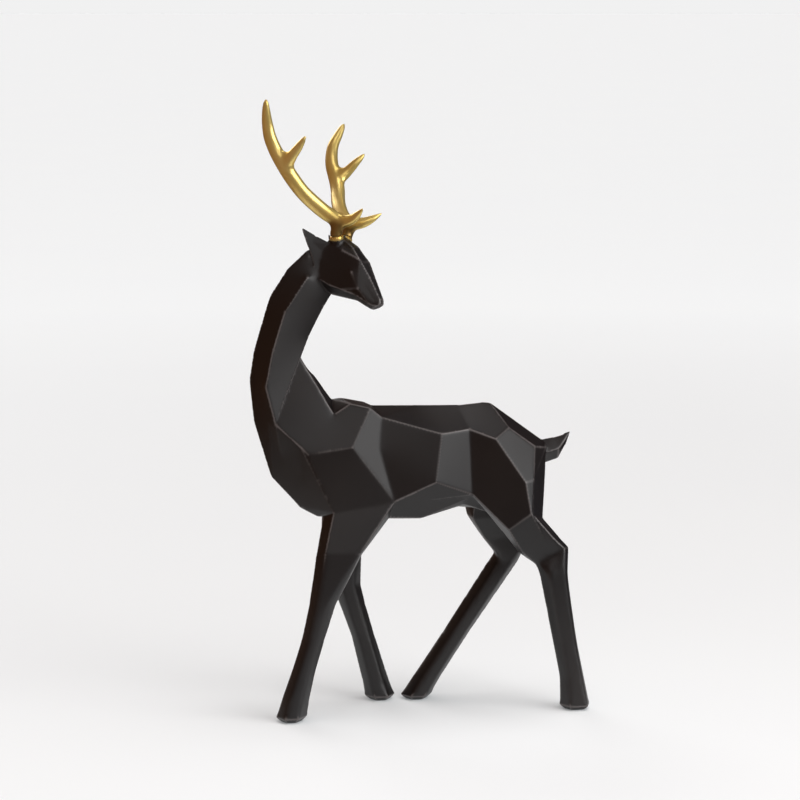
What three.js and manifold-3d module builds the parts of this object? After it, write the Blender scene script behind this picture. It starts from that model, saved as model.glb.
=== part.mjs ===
// Deer figurine with a faceted black body and two gold antlers.
// The body is one casting that stands on four hooves. Each antler is a piece of its own that sits on
// a small flat pedicle on the crown of the head.
// Millimetres, +Z up. The deer faces -X, its left side faces -Y, and its head is turned back over
// its left shoulder. The origin is under the middle of the figure, on the ground.

import * as THREE from 'three';
import { mergeVertices } from 'three/addons/utils/BufferGeometryUtils.js';
import Module from 'manifold-3d';

const wasm = await Module();
wasm.setup();

// Driving dimensions: the height of the withers, the length of the head, the reach of an antler from
// its seat to its tip, and the gap between an antler and its seat
const withersHeight = 182;
const headLength = 45;
const antlerReach = 89;
const seatGap = 0.3;

// The head's turn back over the left shoulder, its nod and its tilt, in degrees
const headTurn = -46;
const headNod = 36.6;
const headTilt = -13.5;

// The carving is laid out in hundredths of these sizes
const bodyShare = withersHeight / 100;
const headShare = headLength / 100;
const antlerShare = antlerReach / 100;

const nearSide = -1;
const farSide = 1;

// A point on the body: along the deer, across it, and up
function onBody(along, across, up) {
  return new THREE.Vector3(along, across, up).multiplyScalar(bodyShare);
}

// Closed solid through rings of corners, with both ends capped

function quadTriangles(a, b, c, d) {
  const across = new THREE.Vector3().subVectors(b, a);
  const along = new THREE.Vector3().subVectors(d, a);
  const toOpposite = new THREE.Vector3().subVectors(c, a);
  const bulge = toOpposite.dot(across.cross(along));
  return bulge > 0 ? [[a, b, c], [a, c, d]] : [[a, b, d], [b, c, d]];
}

function capTriangles(ring) {
  const middle = new THREE.Vector3();
  ring.forEach((corner) => middle.add(corner));
  middle.divideScalar(ring.length);
  return ring.map((corner, i) => [middle, ring[(i + 1) % ring.length], corner]);
}

function geometryOf(triangles) {
  const places = new Float32Array(triangles.flat().flatMap((corner) => corner.toArray()));
  const geometry = new THREE.BufferGeometry();
  geometry.setAttribute('position', new THREE.BufferAttribute(places, 3));
  return geometry;
}

function signedVolume(triangles) {
  return triangles.reduce((sum, [a, b, c]) => sum + a.dot(b.clone().cross(c)) / 6, 0);
}

function loft(rings) {
  const build = (ordered) => {
    const triangles = [...capTriangles(ordered[0])];
    for (let k = 0; k + 1 < ordered.length; k += 1) {
      const [low, high] = [ordered[k], ordered[k + 1]];
      low.forEach((corner, i) => {
        const next = (i + 1) % low.length;
        triangles.push(...quadTriangles(corner, low[next], high[next], high[i]));
      });
    }
    const last = [...ordered[ordered.length - 1]].reverse();
    triangles.push(...capTriangles(last));
    return triangles;
  };
  const triangles = build(rings);
  const outward = signedVolume(triangles) > 0 ? triangles : build([...rings].reverse());
  return toSolid(geometryOf(outward));
}

// Booleans

function toSolid(geometry) {
  geometry.deleteAttribute('normal');
  geometry.deleteAttribute('uv');
  const merged = mergeVertices(geometry, 1e-4);
  const corners = merged.index.array;
  const kept = [];
  for (let i = 0; i < corners.length; i += 3) {
    const [a, b, c] = corners.slice(i, i + 3);
    if (a !== b && b !== c && c !== a) kept.push(a, b, c);
  }
  return new wasm.Manifold(new wasm.Mesh({
    numProp: 3,
    vertProperties: new Float32Array(merged.attributes.position.array),
    triVerts: new Uint32Array(kept),
  }));
}

function fromSolid(solid) {
  const mesh = solid.getMesh();
  const geometry = new THREE.BufferGeometry();
  geometry.setAttribute('position', new THREE.BufferAttribute(new Float32Array(mesh.vertProperties), 3));
  geometry.setIndex(new THREE.BufferAttribute(new Uint32Array(mesh.triVerts), 1));
  return geometry;
}

function join(solids) {
  return solids.reduce((sum, solid) => sum.add(solid));
}

// Trunk and neck: one loft from the rump to the top of the neck.
// Each station has its spine and keel on the middle line, and its ridge, flank, hem and edge
// mirrored on both sides: [along, out from the middle, up].

const shoulderHem = [-3.79, 11.92, 70.22];
const elbowHem = [-23.63, 11.92, 67.14];
const trunkStations = [
  { spine: [47.97, 85.16], ridge: [47.75, 2.75, 85.16], flank: [46.98, 3.85, 74.18],
    hem: [45.05, 4.95, 63.74], edge: [43.41, 2.75, 61.54], keel: [42.86, 60.99] },
  { spine: [47.47, 86.81], ridge: [43.08, 7.47, 86.32], flank: [43.41, 5.49, 74.18],
    hem: [41.21, 4.95, 63.74], edge: [39.01, 2.75, 61.54], keel: [38.46, 60.99] },
  { spine: [29.56, 100], ridge: [34.29, 7.97, 92.69], flank: [32.97, 7.69, 79.67],
    hem: [31.87, 6.59, 66.48], edge: [28.57, 3.85, 64.29], keel: [27.47, 64.29] },
  { spine: [26.65, 100.16], ridge: [29.29, 11.43, 89.73], flank: [26.37, 7.69, 76.92],
    hem: [25.82, 6.59, 68.68], edge: [24.18, 3.3, 65.93], keel: [23.08, 65.66] },
  { spine: [19.01, 99.45], ridge: [21.26, 8.41, 92.64], flank: [21.81, 10.22, 71.48],
    hem: [20.88, 8.24, 69.89], edge: [19.78, 5.49, 67.58], keel: [19.23, 65.93] },
  { spine: [4.95, 99.67], ridge: [11.76, 10.99, 91.65], flank: [9.4, 13.52, 76.32],
    hem: [7.58, 10.71, 70.11], edge: [5.77, 7.97, 63.96], keel: [6.59, 62.36] },
  { spine: [-9.45, 100], ridge: [-7.01, 7.15, 96.92], flank: [-8.21, 9.41, 87.32],
    hem: shoulderHem, edge: [-4.89, 9.18, 64.51], keel: [-3.85, 62.64] },
  { spine: [-14.29, 101.1], ridge: [-10.84, 7.37, 100.15], flank: [-17.42, 11.37, 88.13],
    hem: shoulderHem, edge: [-8.79, 8.24, 64.56], keel: [-8.79, 63.19] },
  { spine: [-19.51, 102.64], ridge: [-17.08, 5.95, 101.57], flank: [-24.4, 10.88, 87.09],
    hem: [-13.74, 11.92, 68.68], edge: [-17.58, 6.59, 64.56], keel: [-17.58, 63.74] },
  { spine: [-22.31, 102.25], ridge: [-22.53, 6.59, 98.19], flank: [-31.43, 10.33, 86.04],
    hem: elbowHem, edge: [-28.08, 7.03, 65.33], keel: [-26.37, 64.84] },
  { spine: [-24.56, 105.44], ridge: [-24.84, 5.66, 102.25], flank: [-33.63, 9.62, 88.08],
    hem: [-33.19, 7.03, 78.02], edge: [-32.86, 4.18, 67.69], keel: [-32.91, 67.36] },
  { spine: [-27.8, 110], ridge: [-28.13, 4.34, 108.13], flank: [-36.76, 8.57, 90.99],
    hem: [-39.29, 4.4, 84.62], edge: [-41.54, 0.66, 78.24], keel: [-42.09, 77.69] },
  { spine: [-32.58, 116.7], ridge: [-33.02, 2.47, 116.65], flank: [-41.43, 7.03, 95.33],
    keel: [-47.53, 95.38] },
  { spine: [-29.62, 122.8], ridge: [-29.89, 2.2, 122.86], flank: [-44.62, 7.31, 107.31],
    keel: [-48.9, 109.01] },
  { spine: [-27.36, 127.36], ridge: [-27.58, 2.09, 127.47], flank: [-42.03, 6.59, 119.34],
    keel: [-47.36, 118.68] },
  { spine: [-24.73, 132.42], ridge: [-24.95, 1.98, 132.42], flank: [-37.97, 5.6, 131.21],
    keel: [-42.2, 135.82] },
  { spine: [-22.31, 136.59], ridge: [-22.42, 1.87, 136.59], flank: [-30.46, 4.18, 142.03],
    keel: [-36.26, 144.78] },
  { spine: [-20.05, 141.76], ridge: [-20.6, 1.65, 142.31], flank: [-28.25, 2.86, 144.39],
    keel: [-30.07, 150.41] },
  { spine: [-20.1, 144.5], ridge: [-20.5, 0.9, 144.6], flank: [-23.6, 1.4, 147],
    keel: [-24.5, 150.8] },
];

function trunkRing({ spine, ridge, flank, keel, ...lower }) {
  const toKeel = (part) => flank.map((value, i) => value + part * ([keel[0], 0, keel[1]][i] - value));
  const { hem = toKeel(1 / 3), edge = toKeel(2 / 3) } = lower;
  const sides = [ridge, flank, hem, edge];
  const side = (across) => sides.map(([along, out, up]) => onBody(along, across * out, up));
  const top = onBody(spine[0], 0, spine[1]);
  const bottom = onBody(keel[0], 0, keel[1]);
  return [top, ...side(nearSide), bottom, ...side(farSide).reverse()];
}

// Legs. The upper rings give every corner by its place; the shank is a soft six-sided section.

const innerRidges = [0.7, 0.25];
const forelegRidges = [0.22, 0.64];
const hindlegRidges = [0.25, 0.5, 0.84];

function shankRing({ up, front, rear, middle, thick }, outerRidges, across) {
  const width = rear - front;
  const half = thick / 2;
  const corner = (part, out) => onBody(front + part * width, across * (middle + out), up);
  return [
    corner(0, 0),
    ...outerRidges.map((part) => corner(part, half)),
    corner(1, 0),
    ...innerRidges.map((part) => corner(part, -half)),
  ];
}

const soleTuck = 0.16;
const rimHeight = 1.43;

function hoofRings(sole, outerRidges, across) {
  const { front, rear, middle, thick } = sole;
  const tuck = soleTuck * (rear - front);
  const rim = { up: rimHeight, front, rear, middle, thick };
  const ground = { up: 0, front: front + tuck, rear: rear - tuck, middle, thick: thick - 2 * tuck };
  return [rim, ground].map((ring) => shankRing(ring, outerRidges, across));
}

function leg({ upper, shanks, sole }, outerRidges, across) {
  const upperRings = upper.map((ring) => ring.map(([along, out, up]) => onBody(along, across * out, up)));
  const shankRings = shanks.map((shank) => shankRing(shank, outerRidges, across));
  return loft([...upperRings, ...shankRings, ...hoofRings(sole, outerRidges, across)]);
}

const shoulderRing = [
  [-26.37, 6.59, 82.42], [-24.18, 9.34, 82.42], [-15.38, 9.34, 82.42],
  [-12.09, 6.59, 82.42], [-15.38, 2.75, 82.42], [-24.18, 2.75, 82.42],
];

const nearForeleg = {
  upper: [
    shoulderRing,
    [
      [-26.65, 8.24, 64.4], elbowHem, shoulderHem,
      [-5.22, 8.24, 64.07], [-7.69, 3.3, 63.74], [-23.08, 3.3, 64.84],
    ],
    [
      [-29.34, 11.54, 53.63], [-26.92, 15.16, 54.4], [-15.49, 15.38, 54.18],
      [-14.23, 10.99, 53.3], [-16.48, 6.59, 53.3], [-26.37, 6.59, 53.85],
    ],
  ],
  shanks: [
    { up: 38.19, front: -31.81, rear: -22.31, middle: 12.09, thick: 8.24 },
    { up: 26.15, front: -34.29, rear: -26.21, middle: 12.09, thick: 7.69 },
    { up: 16.21, front: -37.58, rear: -29.34, middle: 12.36, thick: 7.69 },
    { up: 6.59, front: -41.21, rear: -31.37, middle: 12.64, thick: 8.79 },
  ],
  sole: { front: -42.69, rear: -32.42, middle: 12.64, thick: 9.62 },
};

const farForeleg = {
  upper: [
    shoulderRing,
    [
      [-23.63, 8.24, 64.51], elbowHem, shoulderHem,
      [-5.22, 8.24, 64.07], [-7.69, 3.3, 63.74], [-21.98, 3.3, 64.62],
    ],
    [
      [-24.18, 12.09, 53.3], [-22.53, 15.38, 53.85], [-13.74, 15.38, 53.85],
      [-10.44, 10.99, 53.3], [-14.29, 7.14, 53.3], [-21.98, 7.14, 53.3],
    ],
  ],
  shanks: [
    { up: 39.01, front: -20.55, rear: -10.71, middle: 12.09, thick: 8.24 },
    { up: 32.42, front: -18.3, rear: -9.07, middle: 12.09, thick: 7.97 },
    { up: 20.88, front: -14.12, rear: -5.88, middle: 12.09, thick: 7.69 },
    { up: 6.59, front: -10.77, rear: -1.43, middle: 12.09, thick: 8.79 },
  ],
  sole: { front: -9.78, rear: 0.49, middle: 12.09, thick: 9.62 },
};

const haunchTop = [
  [
    [21.26, 8.41, 92.64], [29.29, 11.43, 89.73], [34.29, 7.97, 92.69], [43.08, 7.47, 86.32],
    [47.75, 2.75, 85.16], [43.96, 1.1, 82.42], [25.27, 1.65, 87.91],
  ],
  [
    [21.81, 10.22, 71.48], [38.46, 15.11, 75.77], [41.37, 13.57, 76.26], [41.37, 13.57, 76.26],
    [47.09, 4.4, 74.56], [45.05, 1.65, 72.53], [25.27, 2.2, 68.68],
  ],
];

const nearHindleg = {
  upper: [
    ...haunchTop,
    [
      [32.97, 14.51, 60.27], [40.05, 16.32, 65.66], [40.66, 15.93, 65.38], [40.66, 15.93, 65.38],
      [45.88, 7.14, 62.53], [43.41, 4.4, 60.44], [32.42, 7.69, 58.52],
    ],
    [
      [37.31, 13.13, 53.08], [41.76, 13.85, 54.62], [45.6, 14.34, 56.04], [48.19, 14.67, 56.92],
      [50.66, 9.89, 56.81], [47.25, 7.14, 54.95], [37.36, 7.14, 51.65],
    ],
    [
      [42.75, 12.31, 48.24], [46.15, 13.08, 50.27], [49.45, 13.74, 52.2], [51.81, 14.18, 53.63],
      [53.85, 10.44, 53.46], [51.1, 7.14, 51.1], [43.96, 7.14, 47.25],
    ],
  ],
  shanks: [
    { up: 45.33, front: 43.57, rear: 53.41, middle: 11.26, thick: 7.97 },
    { up: 33.19, front: 46.04, rear: 54.95, middle: 11.26, thick: 7.69 },
    { up: 22.14, front: 48.35, rear: 56.65, middle: 11.26, thick: 7.42 },
    { up: 10.71, front: 50.6, rear: 58.96, middle: 11.54, thick: 7.97 },
  ],
  sole: { front: 50.71, rear: 60.99, middle: 11.54, thick: 9.62 },
};

const farHindleg = {
  upper: [
    ...haunchTop,
    [
      [23.63, 8.24, 61.81], [34.07, 14.29, 64.84], [38.46, 13.19, 64.84], [38.46, 13.19, 64.84],
      [43.41, 7.14, 63.19], [40.66, 3.3, 60.99], [24.73, 3.3, 60.99],
    ],
    [
      [28.85, 9.89, 54.12], [32.97, 14.84, 56.59], [37.36, 14.84, 58.24], [41.76, 14.29, 58.24],
      [45.05, 9.89, 57.69], [41.76, 6.04, 54.95], [29.67, 6.04, 53.3],
    ],
    [
      [33.41, 10.44, 48.35], [36.26, 14.29, 49.45], [39.01, 14.29, 50.27], [42.31, 14.29, 51.1],
      [43.96, 10.44, 50.55], [41.21, 6.59, 48.35], [34.62, 6.59, 47.25],
    ],
  ],
  shanks: [
    { up: 45.6, front: 31.54, rear: 42.2, middle: 10.99, thick: 7.97 },
    { up: 22.53, front: 16.37, rear: 25.99, middle: 10.99, thick: 7.69 },
    { up: 7.69, front: 6.26, rear: 16.26, middle: 10.99, thick: 8.24 },
  ],
  sole: { front: 1.98, rear: 12.58, middle: 10.99, thick: 9.34 },
};

// Head, in its own frame: forward from the poll, out to the side, up. Stations run from the back
// of the skull to the nose, with the top on the middle line and the rest mirrored.

const poll = onBody(-17.75, 0, 152.8);
const headPose = new THREE.Euler(
  THREE.MathUtils.degToRad(headTilt),
  THREE.MathUtils.degToRad(headNod),
  THREE.MathUtils.degToRad(headTurn),
  'ZYX',
);

function onHead(forward, out, up) {
  return new THREE.Vector3(forward, out, up).multiplyScalar(headShare).applyEuler(headPose).add(poll);
}

const headStations = [
  { top: [-11.11, 2.22], crown: [-11.11, 8.89, 0.44], brow: [-13.33, 15.56, -11.11],
    cheek: [-13.33, 24, -31.11], jaw: [-6.67, 24.5, -48.89], chin: [-2.22, 6.67, -55.56] },
  { top: [2.22, 4.89], crown: [2.22, 8.89, 3.11], brow: [-4, 17.78, -10.89],
    cheek: [0, 22.5, -31.11], jaw: [8.89, 24.8, -54.22], chin: [13.33, 8.89, -60] },
  { top: [20, 8], crown: [18.89, 8.89, 4], brow: [13.78, 16.44, -6],
    cheek: [22.22, 19.11, -24.44], jaw: [32.44, 21.56, -49.78], chin: [35.33, 10, -60.89] },
  { top: [43.56, 2.89], crown: [43.11, 7.78, 0.44], brow: [38.67, 13.78, 0.44],
    cheek: [43.11, 18.22, -17.78], jaw: [48.89, 19.78, -43.11], chin: [53.33, 8.89, -51.11] },
  { top: [64.44, -6.67], crown: [63.56, 8, -8.44], brow: [63.56, 12.67, -18],
    cheek: [63.56, 17.33, -27.56], jaw: [63.33, 16.22, -37.33], chin: [68.89, 7.78, -42.67] },
  { top: [93.33, -19.11], crown: [92.89, 5.56, -20.89], brow: [90.67, 8.22, -27.33],
    cheek: [88, 11.11, -33.78], jaw: [84.44, 10.22, -36], chin: [85.33, 5.78, -39.78] },
  { top: [97.78, -24], crown: [97.33, 5.11, -25.33], brow: [95.56, 6.22, -29.78],
    cheek: [93.33, 6.44, -33.78], jaw: [92, 5.56, -36.44], chin: [91.11, 3.56, -38.67] },
];

function headRing({ top, crown, brow, cheek, jaw, chin }) {
  const sides = [crown, brow, cheek, jaw, chin];
  const side = (across) => sides.map(([forward, out, up]) => onHead(forward, across * out, up));
  return [onHead(top[0], 0, top[1]), ...side(nearSide), ...side(farSide).reverse()];
}

// Ears: a flat leaf from the side of the skull, with its tip out and back
const earRings = [
  [[0, 8, -10], [2, 15, -27], [8, 17, -48], [-6, 10, -28]],
  [[-5.7, 16.7, -10.7], [-5, 21, -25.2], [4.5, 26.7, -47.7], [-8, 16, -30]],
  [[-26, 24.8, -15.1], [-23.4, 28, -23.6], [-20.9, 31.6, -32.5], [-25.5, 24.3, -25.9]],
  [[-43.11, 35.56, -17.33], [-42.22, 36, -18.44], [-42.22, 35.56, -19.78], [-43.56, 34.89, -18.67]],
];

function ear(across) {
  return loft(earRings.map((ring) => ring.map(([forward, out, up]) => onHead(forward, across * out, up))));
}

// Tail: a short upturned leaf
const tailRings = [
  [[45.05, 0, 87.03], [46.15, 2.75, 82.97], [46.15, 0, 78.85], [46.15, -2.75, 82.97]],
  [[51.1, 0, 88.08], [52.2, 1.98, 84.34], [52.53, 0, 80.82], [52.2, -1.98, 84.34]],
  [[53.85, 0, 88.9], [54.18, 1.32, 86.7], [54.73, 0, 84.89], [54.18, -1.32, 86.7]],
  [[56.26, 0, 89.78], [56.32, 0.16, 89.67], [56.37, 0, 89.56], [56.32, -0.16, 89.67]],
];

function tail() {
  return loft(tailRings.map((ring) => ring.map((place) => onBody(...place))));
}

// Pedicles: a short flat-topped stub for each antler on the crown. Each leans out and back along rise.
const pedicle = { forward: -8.89, out: 13.33, up: 0.89, radius: 8.67, depth: 13.33 };
const rise = new THREE.Vector3(-0.6, 0.35, 0.72).normalize();
const pedicleSides = 16;

function seatRing(height, radius, sides, across) {
  const towards = new THREE.Vector3(rise.x, across * rise.y, rise.z);
  const flat = new THREE.Vector3().crossVectors(towards, new THREE.Vector3(0, 1, 0)).normalize();
  const thin = new THREE.Vector3().crossVectors(flat, towards).normalize();
  const middle = new THREE.Vector3(pedicle.forward, across * pedicle.out, pedicle.up)
    .addScaledVector(towards, height / headShare);
  return Array.from({ length: sides }, (_, i) => {
    const turn = (2 * Math.PI * i) / sides;
    const corner = middle.clone()
      .addScaledVector(flat, (radius / headShare) * Math.cos(turn))
      .addScaledVector(thin, (radius / headShare) * Math.sin(turn));
    return onHead(corner.x, corner.y, corner.z);
  });
}

function pedicleStub(across) {
  const radius = pedicle.radius * headShare;
  const levels = [-pedicle.depth * headShare, 0];
  return loft(levels.map((height) => seatRing(height, radius, pedicleSides, across)));
}

// Antlers: a beam that sweeps from the brow tine back and out to its tip, on a short stem, with a tine
// that forks up half way. Places are in the head's frame, measured from the pedicle's seat. Each
// station is [forward, out, up, radius].

const antlerSides = 12;
const antlerFlatness = 0.88;
const stationsPerSpan = 3;

const beamStations = [
  [6.29, 6.52, 27.42, 0.79], [4.94, 4.04, 21.69, 2.47], [2.25, 1.46, 15.17, 3.71],
  [-3.82, 0.45, 9.44, 4.61], [-11.8, 3.93, 7.42, 5.06],
  [-20.79, 10, 7.75, 5.17], [-30.22, 17.64, 9.55, 5.06], [-39.66, 24.94, 13.37, 5.17],
  [-48.99, 29.21, 17.08, 5.06],
  [-57.3, 31.69, 20.45, 4.72], [-63.71, 34.61, 24.49, 4.49], [-68.88, 37.3, 29.55, 4.04],
  [-72.92, 41.69, 35.96, 3.26],
  [-75.96, 44.94, 41.57, 2.13], [-77.19, 46.29, 44.04, 0.79],
];
const tineStations = [
  [-47.19, 28.99, 16.85, 3.71], [-45.39, 29.44, 20.67, 4.16], [-45.06, 30.9, 25.51, 3.71],
  [-44.72, 31.69, 32.36, 3.03],
  [-44.49, 32.92, 37.87, 2.13], [-44.49, 33.71, 41.91, 0.79],
];
const stem = { start: 2.02, end: [-3.82, 1.57, 8.54], seatRadius: 4.04, endRadius: 3.93 };

function onAntler([forward, out, up], across) {
  return new THREE.Vector3(forward, across * out, up).multiplyScalar(antlerShare)
    .applyEuler(headPose)
    .add(onHead(pedicle.forward, across * pedicle.out, pedicle.up));
}

function sectionRing(centre, forward, radius) {
  const sideways = new THREE.Vector3(0, 1, 0).applyEuler(headPose);
  const flat = new THREE.Vector3().crossVectors(forward, sideways).normalize();
  const thin = new THREE.Vector3().crossVectors(flat, forward).normalize();
  return Array.from({ length: antlerSides }, (_, i) => {
    const turn = (2 * Math.PI * i) / antlerSides;
    return centre.clone()
      .addScaledVector(flat, radius * Math.cos(turn))
      .addScaledVector(thin, antlerFlatness * radius * Math.sin(turn));
  });
}

function branch(stations, across) {
  const path = new THREE.CatmullRomCurve3(stations.map((station) => onAntler(station, across)));
  const spans = stations.length - 1;
  return loft(Array.from({ length: spans * stationsPerSpan + 1 }, (_, k) => {
    const part = k / (spans * stationsPerSpan);
    const span = Math.min(Math.floor(part * spans), spans - 1);
    const radius = THREE.MathUtils.lerp(stations[span][3], stations[span + 1][3], part * spans - span);
    return sectionRing(path.getPoint(part), path.getTangent(part), radius * antlerShare);
  }));
}

function antlerStem(across) {
  const radius = stem.seatRadius * antlerShare;
  const end = onAntler(stem.end, across);
  const foot = onAntler([0, 0, 0], across);
  const forward = end.clone().sub(foot).normalize();
  return loft([
    seatRing(seatGap, radius, antlerSides, across),
    seatRing(seatGap + stem.start * antlerShare, radius, antlerSides, across),
    sectionRing(end, forward, stem.endRadius * antlerShare),
  ]);
}

function antler(across) {
  return join([
    antlerStem(across),
    branch(beamStations, across),
    branch(tineStations, across),
  ]);
}

// Materials and assembly

const blackResin = new THREE.MeshStandardMaterial({ color: 0x211e20, roughness: 0.42, metalness: 0 });
const goldFinish = new THREE.MeshStandardMaterial({ color: 0xc9a24a, roughness: 0.28, metalness: 0.9 });

const bodySolid = join([
  loft(trunkStations.map(trunkRing)),
  leg(nearForeleg, forelegRidges, nearSide),
  leg(farForeleg, forelegRidges, farSide),
  leg(nearHindleg, hindlegRidges, nearSide),
  leg(farHindleg, hindlegRidges, farSide),
  loft(headStations.map(headRing)),
  ear(nearSide),
  ear(farSide),
  tail(),
  pedicleStub(nearSide),
  pedicleStub(farSide),
]);

const pieces = {
  deer_body: [bodySolid, blackResin],
  antler_right: [antler(nearSide), goldFinish],
  antler_left: [antler(farSide), goldFinish],
};

const figure = new THREE.Group();
Object.entries(pieces).forEach(([name, [solid, material]]) => {
  const mesh = new THREE.Mesh(fromSolid(solid), material);
  mesh.name = name;
  figure.add(mesh);
});

// The origin goes under the middle of the whole figure
const bounds = new THREE.Box3().setFromObject(figure);
const middle = bounds.getCenter(new THREE.Vector3());
figure.children.forEach((mesh) => mesh.geometry.translate(-middle.x, -middle.y, -bounds.min.z));

export default figure;
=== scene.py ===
import math

import bmesh
import bpy
import numpy as np
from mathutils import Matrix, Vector


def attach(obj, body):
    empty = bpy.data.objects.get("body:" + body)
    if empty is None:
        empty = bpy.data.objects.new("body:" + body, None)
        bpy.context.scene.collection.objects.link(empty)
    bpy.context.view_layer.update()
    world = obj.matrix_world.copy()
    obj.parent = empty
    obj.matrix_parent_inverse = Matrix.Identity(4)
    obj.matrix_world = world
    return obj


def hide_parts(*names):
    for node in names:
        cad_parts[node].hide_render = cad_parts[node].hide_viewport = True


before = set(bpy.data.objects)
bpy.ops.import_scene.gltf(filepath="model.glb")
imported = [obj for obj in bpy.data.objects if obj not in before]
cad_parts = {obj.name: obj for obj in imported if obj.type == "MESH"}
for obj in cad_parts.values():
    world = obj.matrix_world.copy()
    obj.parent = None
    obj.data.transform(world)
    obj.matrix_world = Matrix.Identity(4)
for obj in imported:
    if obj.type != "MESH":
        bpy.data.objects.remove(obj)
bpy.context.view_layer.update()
print("frame loaded:", ", ".join(sorted(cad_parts)))


# Meshes

# A copy of a CAD node with its loose triangles joined
def weldedCopy(nodeName):
    work = bmesh.new()
    work.from_mesh(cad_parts[nodeName].data)
    bmesh.ops.remove_doubles(work, verts=work.verts[:], dist=1e-5)
    bmesh.ops.dissolve_degenerate(work, edges=work.edges[:], dist=1e-5)
    bmesh.ops.triangulate(work, faces=work.faces[:])
    return work


# Splits the long edges in halving steps, down to the given size
def splitFine(work, size):
    lengths = [size * 8, size * 4, size * 2, size]
    for length in lengths:
        for _ in range(2):
            longEdges = [edge for edge in work.edges if edge.calc_length() > length]
            bmesh.ops.subdivide_edges(work, edges=longEdges, cuts=1)
            bigFaces = [face for face in work.faces if len(face.verts) > 3]
            bmesh.ops.triangulate(work, faces=bigFaces)


def inScene(name, data):
    thing = bpy.data.objects.new(name, data)
    bpy.context.scene.collection.objects.link(thing)
    return thing


def toMesh(work, name):
    mesh = bpy.data.meshes.new(name)
    work.to_mesh(mesh)
    work.free()
    return mesh


# The mesh after a list of modifiers, each a kind and its settings
def modified(mesh, steps):
    helper = inScene("helper", mesh)
    for kind, settings in steps:
        modifier = helper.modifiers.new(kind, kind)
        for key, value in settings.items():
            setattr(modifier, key, value)
    graph = bpy.context.evaluated_depsgraph_get()
    result = bpy.data.meshes.new_from_object(helper.evaluated_get(graph))
    bpy.data.objects.remove(helper)
    return result


def readRows(mesh, name):
    values = np.empty(len(mesh.vertices) * 3, np.float32)
    mesh.vertices.foreach_get(name, values)
    return values.reshape(-1, 3).astype(float)


def readPoints(mesh):
    return readRows(mesh, "co")


def writePoints(mesh, points):
    mesh.vertices.foreach_set("co", points.astype(np.float32).ravel())
    mesh.update()


# How far each point of the mesh lies inside the given points, along its normal
def depthUnder(mesh, points):
    return ((points - readPoints(mesh)) * readRows(mesh, "normal")).sum(axis=1)


def edgeEnds(mesh):
    edges = np.empty(len(mesh.edges) * 2, np.int32)
    mesh.edges.foreach_get("vertices", edges)
    return edges.reshape(-1, 2)


# The mean of each point's neighbours, taken a number of times
def neighbourMean(mesh, points, rounds):
    first, second = edgeEnds(mesh).T
    total = len(mesh.vertices)
    count = (np.bincount(first, minlength=total) + np.bincount(second, minlength=total)).clip(1)
    for _ in range(rounds):
        points = np.stack([
            np.bincount(first, axis[second], total) + np.bincount(second, axis[first], total)
            for axis in points.T
        ], axis=1) / count[:, None]
    return points


def addAttribute(mesh, name, values):
    attribute = mesh.attributes.new(name, "FLOAT", "POINT")
    attribute.data.foreach_set("value", np.asarray(values, np.float32))


def smoothstep(low, high, values):
    part = np.clip((values - low) / (high - low), 0, 1)
    return part * part * (3 - 2 * part)


def finishedPiece(name, mesh, material, nodeName):
    mesh.polygons.foreach_set("use_smooth", [True] * len(mesh.polygons))
    mesh.materials.clear()
    mesh.materials.append(material)
    mesh.update()
    piece = inScene(name, mesh)
    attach(piece, "root")
    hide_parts(nodeName)
    print(name, "has", len(mesh.polygons), "faces")
    return piece


# Shader maths as Python expressions: a wire is a socket that holds a number or a colour

class Wire:
    def __init__(self, tree, socket):
        self.tree = tree
        self.socket = socket

    def maths(self, operation, other, swapped=False):
        node = self.tree.nodes.new("ShaderNodeMath")
        node.operation = operation
        first, second = (other, self) if swapped else (self, other)
        for place, value in enumerate((first, second)):
            if isinstance(value, Wire):
                self.tree.links.new(value.socket, node.inputs[place])
            else:
                node.inputs[place].default_value = value
        return Wire(self.tree, node.outputs[0])

    def __add__(self, other):
        return self.maths("ADD", other)

    def __radd__(self, other):
        return self.maths("ADD", other, True)

    def __sub__(self, other):
        return self.maths("SUBTRACT", other)

    def __rsub__(self, other):
        return self.maths("SUBTRACT", other, True)

    def __mul__(self, other):
        return self.maths("MULTIPLY", other)

    def __rmul__(self, other):
        return self.maths("MULTIPLY", other, True)

    def clamped(self):
        wire = self.maths("ADD", 0.0)
        wire.socket.node.use_clamp = True
        return wire

    def between(self, low, high):
        return ((self - low) * (1 / (high - low))).clamped()


# The nodes of a tree, each with its settings first and then the values or wires of its sockets
class Nodes:
    def __init__(self, tree):
        self.tree = tree

    def node(self, kind, settings=None, inputs=None, output=0):
        node = self.tree.nodes.new("ShaderNode" + kind)
        for key, value in (settings or {}).items():
            setattr(node, key, value)
        for key, value in (inputs or {}).items():
            self.feed(node.inputs[key], value)
        return Wire(self.tree, node.outputs[output])

    def feed(self, socket, value):
        if isinstance(value, Wire):
            self.tree.links.new(value.socket, socket)
        else:
            socket.default_value = value

    def place(self):
        return self.node("TexCoord", output="Object")

    def attribute(self, name):
        return self.node("Attribute", {"attribute_name": name}, output="Fac")

    def noise(self, scale, detail):
        return self.node("TexNoise", inputs={"Vector": self.place(), "Scale": scale, "Detail": detail})

    # A Mix node's colours are its sockets 6 and 7, and its colour comes out of 2
    def mixColour(self, part, first, second):
        return self.node("Mix", {"data_type": "RGBA"}, {"Factor": part, 6: first, 7: second}, 2)

    def bump(self, height, distance, strength):
        inputs = {"Height": height, "Distance": distance, "Strength": strength}
        return self.node("Bump", inputs=inputs, output="Normal")


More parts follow.
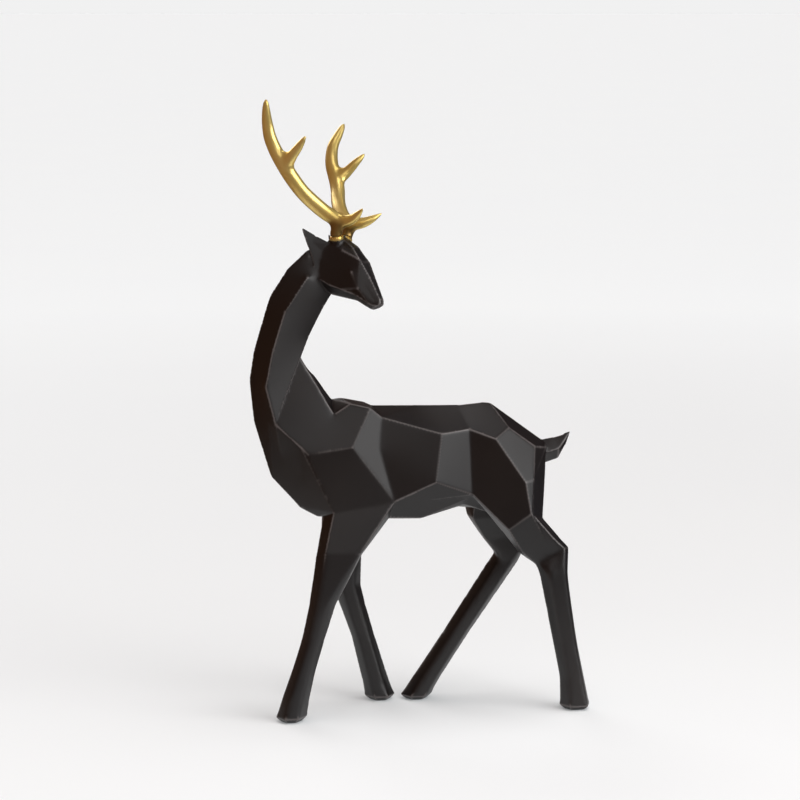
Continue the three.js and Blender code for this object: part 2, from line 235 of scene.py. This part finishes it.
# The nodes of a material, with its surface
class Shader(Nodes):
    def __init__(self, name):
        self.material = bpy.data.materials.new(name)
        self.material.use_nodes = True
        self.surface = self.material.node_tree.nodes["Principled BSDF"]
        super().__init__(self.material.node_tree)

    def feedSurface(self, name, value):
        self.feed(self.surface.inputs[name], value)


# Black resin: satin, a little warm, with fine orange peel and a painted highlight, a paler colour,
# along its edges

resinLook = {
    "base": (0.0038, 0.0029, 0.0032, 1),
    "warm": (0.0065, 0.004, 0.0034, 1),
    "edgeHighlight": (0.13, 0.115, 0.112, 1),
    "gilt": (0.74, 0.50, 0.14, 1),
    "broadScale": 14,
    "fineScale": 900,
    "peelScale": 2600,
    "peelDepth": 0.000012,
    "edgeHighlightAtLeast": 0.45,
    "edgeHighlightSpeckle": 0.6,
    "roughness": 0.4,
    "broadRoughness": 0.12,
    "fineRoughness": 0.08,
    "edgeGloss": 0.08,
    "giltGloss": 0.1,
    "giltMetallic": 0.8,
}


def blackResin():
    look = resinLook
    shader = Shader("black_resin_satin")
    broad = shader.noise(look["broadScale"], 3)
    fine = shader.noise(look["fineScale"], 2)
    peel = shader.noise(look["peelScale"], 2)
    edge = shader.attribute("edge")
    gilt = shader.attribute("gilt")
    colour = shader.mixColour(broad.between(0.35, 0.7), look["base"], look["warm"])
    # Painted highlight: a pale, speckled colour along the rounded edges
    paintedHighlight = (edge * (look["edgeHighlightAtLeast"] + fine * look["edgeHighlightSpeckle"])).clamped()
    colour = shader.mixColour(paintedHighlight, colour, look["edgeHighlight"])
    colour = shader.mixColour(gilt, colour, look["gilt"])
    roughness = look["roughness"] + (broad - 0.5) * look["broadRoughness"]
    roughness = roughness + (fine - 0.5) * look["fineRoughness"]
    roughness = roughness - edge * look["edgeGloss"] - gilt * look["giltGloss"]
    shader.feedSurface("Base Color", colour)
    shader.feedSurface("Roughness", roughness)
    shader.feedSurface("Metallic", gilt * look["giltMetallic"])
    shader.feedSurface("Normal", shader.bump(peel, look["peelDepth"], 0.6))
    return shader.material


# Gold finish: a smooth bright coat, a little darker and rougher in patches; rougher in the hollows,
# with painted shade there; and brown where the stem meets the head, a painted shade and reflection of
# the black head

goldLook = {
    "bright": (0.92, 0.71, 0.25, 1),
    "deep": (0.74, 0.51, 0.10, 1),
    "shaded": (0.16, 0.08, 0.02, 1),
    "broadScale": 45,
    "fineScale": 700,
    "grainDepth": 0.00002,
    "broadPatch": 0.5,
    "hollowShade": 0.6,
    "stemShade": 0.85,
    "roughness": 0.33,
    "broadRoughness": 0.1,
    "fineRoughness": 0.06,
    "hollowRoughness": 0.08,
    "metallic": 0.82,
}


def goldFinish():
    look = goldLook
    shader = Shader("gold_coat")
    broad = shader.noise(look["broadScale"], 3)
    fine = shader.noise(look["fineScale"], 2)
    hollow = shader.attribute("hollow")
    # The darker colour comes in random patches and, as painted shade, in the hollows
    patchesAndHollowShade = (broad.between(0.35, 0.7) * look["broadPatch"] + hollow * look["hollowShade"]).clamped()
    colour = shader.mixColour(patchesAndHollowShade, look["bright"], look["deep"])
    # Painted shade and reflection: the stem turns dark brown near the head
    colour = shader.mixColour(shader.attribute("stem") * look["stemShade"], colour, look["shaded"])
    roughness = look["roughness"] + (broad - 0.5) * look["broadRoughness"]
    roughness = roughness + (fine - 0.5) * look["fineRoughness"]
    roughness = roughness + hollow * look["hollowRoughness"]
    shader.feedSurface("Base Color", colour)
    shader.feedSurface("Roughness", roughness)
    shader.feedSurface("Metallic", look["metallic"])
    shader.feedSurface("Normal", shader.bump(fine, look["grainDepth"], 0.4))
    return shader.material


# The body: the CAD form cut into small faces. Facets are evened out between their sharp edges, and
# then everything is smoothed a little, which rounds the edges. Lengths are metres, angles degrees.

bodyShape = {
    "faceSize": 0.0015,
    "sharpAngle": 8,
    "neckSharpAngle": 30,
    "neckBelow": 0.27,
    "neckAbove": 0.165,
    "neckLeftOf": -0.052,
    "evening": 120,
    "softness": 0.5,
    "rounds": 4,
    "edgeHighlightFrom": 0.00003,
    "edgeHighlightTo": 0.00018,
    "hoofTop": 0.006,
    "legFrom": 0.085,
    "legTo": 0.11,
    "legRounds": 5,
    "legEdgeHighlight": 0.3,
    "seatDrop": 0.0035,
    "giltFrom": 0.0018,
    "giltTo": 0.0028,
}


# The neck's long facets run through, so only its stronger edges stay sharp
def markSharpEdges(work):
    for edge in work.edges:
        middle = (edge.verts[0].co + edge.verts[1].co) / 2
        inHeight = bodyShape["neckAbove"] < middle.z < bodyShape["neckBelow"]
        inNeck = inHeight and middle.x < bodyShape["neckLeftOf"]
        angle = bodyShape["neckSharpAngle"] if inNeck else bodyShape["sharpAngle"]
        edge.smooth = edge.calc_face_angle(math.pi) < math.radians(angle)


# Every point moves to its neighbours' mean again and again, and those on sharp edges stay
def evenedPoints(mesh, rounds):
    points = readPoints(mesh)
    sharp = np.zeros(len(mesh.edges), bool)
    mesh.attributes["sharp_edge"].data.foreach_get("value", sharp)
    corners = edgeEnds(mesh)[sharp].ravel()
    kept = points[corners]
    for _ in range(rounds):
        points = neighbourMean(mesh, points, 1)
        points[corners] = kept
    return points


# One on the legs from just over the soles up to the trunk, nought elsewhere
def legPart(points):
    height = points[:, 2]
    trunk = smoothstep(bodyShape["legFrom"], bodyShape["legTo"], height)
    return (1 - trunk) * smoothstep(bodyShape["hoofTop"] / 2, bodyShape["hoofTop"], height)


# The legs' edges are rounder than the trunk's
def roundedLegs(mesh, points):
    rounded = neighbourMean(mesh, points, bodyShape["legRounds"])
    return points + (rounded - points) * legPart(points)[:, None]


def deerBody(material):
    work = weldedCopy("deer_body")
    markSharpEdges(work)
    splitFine(work, bodyShape["faceSize"])
    mesh = toMesh(work, "deer_form")
    evened = roundedLegs(mesh, evenedPoints(mesh, bodyShape["evening"]))
    writePoints(mesh, evened)
    mesh.attributes.remove(mesh.attributes["sharp_edge"])
    smoothing = ("SMOOTH", {"factor": bodyShape["softness"], "iterations": bodyShape["rounds"]})
    mesh = modified(mesh, [smoothing])
    points = readPoints(mesh)
    # Painted highlight: the edges that the smoothing rounds get a pale colour, weaker on the legs
    edgeHighlight = smoothstep(bodyShape["edgeHighlightFrom"], bodyShape["edgeHighlightTo"], depthUnder(mesh, evened))
    addAttribute(mesh, "edge", edgeHighlight * (1 - legPart(points) * (1 - bodyShape["legEdgeHighlight"])))
    addAttribute(mesh, "gilt", giltNearSeats(points))
    return finishedPiece("deer_form", mesh, material, "deer_body")


# The corners at an antler's lower end
def footCorners(nodeName):
    points = np.unique(readPoints(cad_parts[nodeName].data).round(6), axis=0)
    return points[points[:, 2] < points[:, 2].min() + bodyShape["seatDrop"]]


# Gilding laps from each antler onto its stub
def giltNearSeats(points):
    corners = np.concatenate([footCorners("antler_right"), footCorners("antler_left")])
    nearness = np.full(len(points), 1.0)
    for corner in corners:
        nearness = np.minimum(nearness, np.linalg.norm(points - corner, axis=1))
    return 1 - smoothstep(bodyShape["giltFrom"], bodyShape["giltTo"], nearness)


# The antlers: swelled, then shrunk back, so that their forks fill out to soft webs

antlerShape = {
    "meshSize": 0.00052,
    "web": 0.003,
    "webSmoothing": 4,
    "smoothing": 14,
    "softness": 0.5,
    "hollowReach": 30,
    "hollowFrom": -0.0002,
    "hollowTo": 0.0006,
    "footSpare": 0.0014,
    "footFlattening": 0.98,
    "stemFrom": 0.006,
    "stemTo": 0.0115,
}


# The middle and the outward direction of the antler's flat foot
def footPlane(work):
    lowest = min(work.verts, key=lambda vertex: vertex.co.z)
    foot = min(lowest.link_faces, key=lambda face: face.normal.z)
    return foot.calc_center_median().copy(), foot.normal.copy()


# The foot is made a little too long before smoothing, and pressed flat again after it
def lengthenFoot(work, centre, down):
    for vertex in work.verts:
        if (vertex.co - centre).dot(down) > -0.0001:  # on the foot's own face
            vertex.co += down * antlerShape["footSpare"]


def flattenFoot(mesh, centre, down):
    points = readPoints(mesh)
    beyond = ((points - np.array(centre)) @ np.array(down)).clip(0)
    points -= beyond[:, None] * antlerShape["footFlattening"] * np.array(down)
    writePoints(mesh, points)


def antler(nodeName, pieceName, material):
    shape = antlerShape
    work = weldedCopy(nodeName)
    work.normal_update()
    centre, down = footPlane(work)
    lengthenFoot(work, centre, down)
    remesh = ("REMESH", {"mode": "VOXEL", "voxel_size": shape["meshSize"]})
    steps = [
        remesh,
        ("DISPLACE", {"mid_level": 0, "strength": shape["web"]}),
        remesh,
        ("SMOOTH", {"factor": shape["softness"], "iterations": shape["webSmoothing"]}),
        ("DISPLACE", {"mid_level": 0, "strength": -shape["web"]}),
        remesh,
        ("SMOOTH", {"factor": shape["softness"], "iterations": shape["smoothing"]}),
    ]
    mesh = modified(toMesh(work, pieceName), steps)
    flattenFoot(mesh, centre, down)
    points = readPoints(mesh)
    # Painted shade: the hollows of the forks are marked for a darker gold
    around = neighbourMean(mesh, points, shape["hollowReach"])
    hollow = smoothstep(shape["hollowFrom"], shape["hollowTo"], depthUnder(mesh, around))
    addAttribute(mesh, "hollow", hollow)
    # Painted shade: near its foot the antler's stem is marked for the dark brown
    fromFoot = np.linalg.norm(points - footCorners(nodeName).mean(axis=0), axis=1)
    addAttribute(mesh, "stem", 1 - smoothstep(shape["stemFrom"], shape["stemTo"], fromFoot))
    return finishedPiece(pieceName, mesh, material, nodeName)


resin = blackResin()
gold = goldFinish()
deerBody(resin)
antler("antler_right", "near_antler", gold)
antler("antler_left", "far_antler", gold)
print("pieces made")


# Stage: a pale floor, and soft studio light in a dim room. The floor's outer part is kept out of
# reflections, as a small table in a dim studio would be.

stageLook = {
    "floorColour": (0.6, 0.6, 0.6, 1),
    "floorCloud": (0.595, 0.595, 0.598, 1),
    "glowLeft": (0.25, 0.268, 0.276, 1),
    "glowRight": (0.155, 0.17, 0.175, 1),
    "glowFar": (0.375, 0.40, 0.41, 1),
    "nearGlowTo": 0.3,
    "farGlowFrom": 2.2,
    "sideGlowReach": 0.5,
    "tableRadius": 0.28,
    "reach": 60.0,
    "segments": 96,
    "backdrop": (0.88, 0.88, 0.88, 1),
}


def floorMaterial():
    look = stageLook
    shader = Shader("pale_floor")
    cloud = shader.noise(3, 2).between(0.3, 0.7)
    shader.feedSurface("Base Color", shader.mixColour(cloud, look["floorColour"], look["floorCloud"]))
    shader.feedSurface("Roughness", 0.7)
    shader.feedSurface("Specular IOR Level", 0.0)
    distance = shader.node("VectorMath", {"operation": "LENGTH"}, {0: shader.place()}, "Value")
    away = distance.between(look["nearGlowTo"], look["farGlowFrom"])
    across = shader.node("SeparateXYZ", inputs={"Vector": shader.place()}, output="X")
    aside = across.between(-look["sideGlowReach"], look["sideGlowReach"])
    glowNear = shader.mixColour(aside, look["glowLeft"], look["glowRight"])
    shader.feedSurface("Emission Color", shader.mixColour(away, glowNear, look["glowFar"]))
    shader.feedSurface("Emission Strength", 1.0)
    return shader.material


def floorPiece(name, work, material):
    mesh = toMesh(work, name)
    mesh.materials.append(material)
    piece = inScene(name, mesh)
    return piece


def makeFloor():
    material = floorMaterial()
    circle = {"segments": stageLook["segments"], "radius": stageLook["tableRadius"]}
    table = bmesh.new()
    bmesh.ops.create_circle(table, cap_ends=True, **circle)
    floorPiece("floor_near", table, material)
    ring = bmesh.new()
    inner = bmesh.ops.create_circle(ring, **circle)["verts"]
    edges = list({edge for vertex in inner for edge in vertex.link_edges})
    outer = bmesh.ops.extrude_edge_only(ring, edges=edges)["geom"]
    outerCorners = [item for item in outer if isinstance(item, bmesh.types.BMVert)]
    growth = stageLook["reach"] / stageLook["tableRadius"]
    bmesh.ops.scale(ring, verts=outerCorners, vec=(growth, growth, 1))
    bmesh.ops.recalc_face_normals(ring, faces=ring.faces[:])
    if ring.faces[:][0].normal.z < 0:
        bmesh.ops.reverse_faces(ring, faces=ring.faces[:])
    far = floorPiece("floor_far", ring, material)
    far.visible_glossy = False


# Each soft light has its azimuth to the right of straight in front and its height, in degrees, then
# its distance, size and power
softLights = {
    "key": {"azimuth": 45, "elevation": 20, "distance": 1.6, "size": (1.35, 1.2), "power": 18.5},
    "fill": {"azimuth": -8, "elevation": 32, "distance": 1.6, "size": (0.8, 0.7), "power": 2.2},
    "top": {"azimuth": 60, "elevation": 84, "distance": 1.6, "size": (0.55, 0.55), "power": 2.6},
}
# Of the broad lights, overhead only brightens and shades, and behind also shows in the finish
broadLights = {
    "overhead": {"azimuth": 60, "elevation": 78, "strength": 2.0, "spread": 60, "glossy": False},
    "behind": {"azimuth": 195, "elevation": 26, "strength": 0.8, "spread": 35, "glossy": True},
}
lightsAimAt = (0, 0, 0.18)
sunDistance = 3


def directionOf(azimuth, elevation):
    turn, rise = math.radians(azimuth), math.radians(elevation)
    return Vector((math.sin(turn) * math.cos(rise), -math.cos(turn) * math.cos(rise), math.sin(rise)))


def makeLamp(name, data, direction, distance):
    lamp = inScene(name, data)
    lamp.location = direction * distance + Vector(lightsAimAt)
    lamp.rotation_mode = "QUATERNION"
    lamp.rotation_quaternion = direction.to_track_quat("Z", "Y")
    return lamp


def softLight(name, azimuth, elevation, distance, size, power):
    data = bpy.data.lights.new(name, "AREA")
    data.shape = "RECTANGLE"
    data.size, data.size_y = size
    data.energy = power
    makeLamp(name, data, directionOf(azimuth, elevation), distance)


def broadLight(name, azimuth, elevation, strength, spread, glossy):
    data = bpy.data.lights.new(name, "SUN")
    data.energy = strength
    data.angle = math.radians(spread)
    lamp = makeLamp(name, data, directionOf(azimuth, elevation), sunDistance)
    lamp.visible_glossy = glossy


# The room is dim, a warm brown to the left and near black to the right, and the camera sees a pale
# backdrop behind the floor
roomLook = {
    "left": (0.19, 0.085, 0.04, 1),
    "right": (0.06, 0.055, 0.06, 1),
    "leftFrom": -0.8,
    "rightFrom": 0.6,
}


def makeRoom():
    world = bpy.data.worlds.new("studio")
    world.use_nodes = True
    room = Nodes(world.node_tree)
    direction = room.node("TexCoord", output="Generated")
    across = room.node("SeparateXYZ", inputs={"Vector": direction}, output="X")
    right = across.between(roomLook["leftFrom"], roomLook["rightFrom"])
    colour = room.mixColour(right, roomLook["left"], roomLook["right"])
    seen = room.node("LightPath", output="Is Camera Ray")
    colour = room.mixColour(seen, colour, stageLook["backdrop"])
    room.feed(world.node_tree.nodes["Background"].inputs["Color"], colour)
    bpy.context.scene.world = world


makeFloor()
makeRoom()
for lightName, light in softLights.items():
    softLight(lightName, **light)
for lightName, light in broadLights.items():
    broadLight(lightName, **light)
bpy.context.scene.view_settings.view_transform = "Standard"
print("stage and lights made")


# Camera: where the photograph was taken from

cameraPlace = {
    "target": (-0.011, -0.01869, 0.1845),
    "azimuth": -10,
    "elevation": 8,
    "distance": 1.7,
    "lens": 130.32,
    "sensor": 36,
    "nearest": 0.05,
    "farthest": 60,
}


def makeCamera():
    data = bpy.data.cameras.new("camera")
    data.lens = cameraPlace["lens"]
    data.sensor_width = cameraPlace["sensor"]
    data.clip_start, data.clip_end = cameraPlace["nearest"], cameraPlace["farthest"]
    camera = inScene("camera", data)
    back = directionOf(cameraPlace["azimuth"], cameraPlace["elevation"])
    camera.location = Vector(cameraPlace["target"]) + back * cameraPlace["distance"]
    camera.rotation_mode = "QUATERNION"
    camera.rotation_quaternion = (-back).to_track_quat("-Z", "Y")
    bpy.context.scene.camera = camera


makeCamera()
print("camera placed")
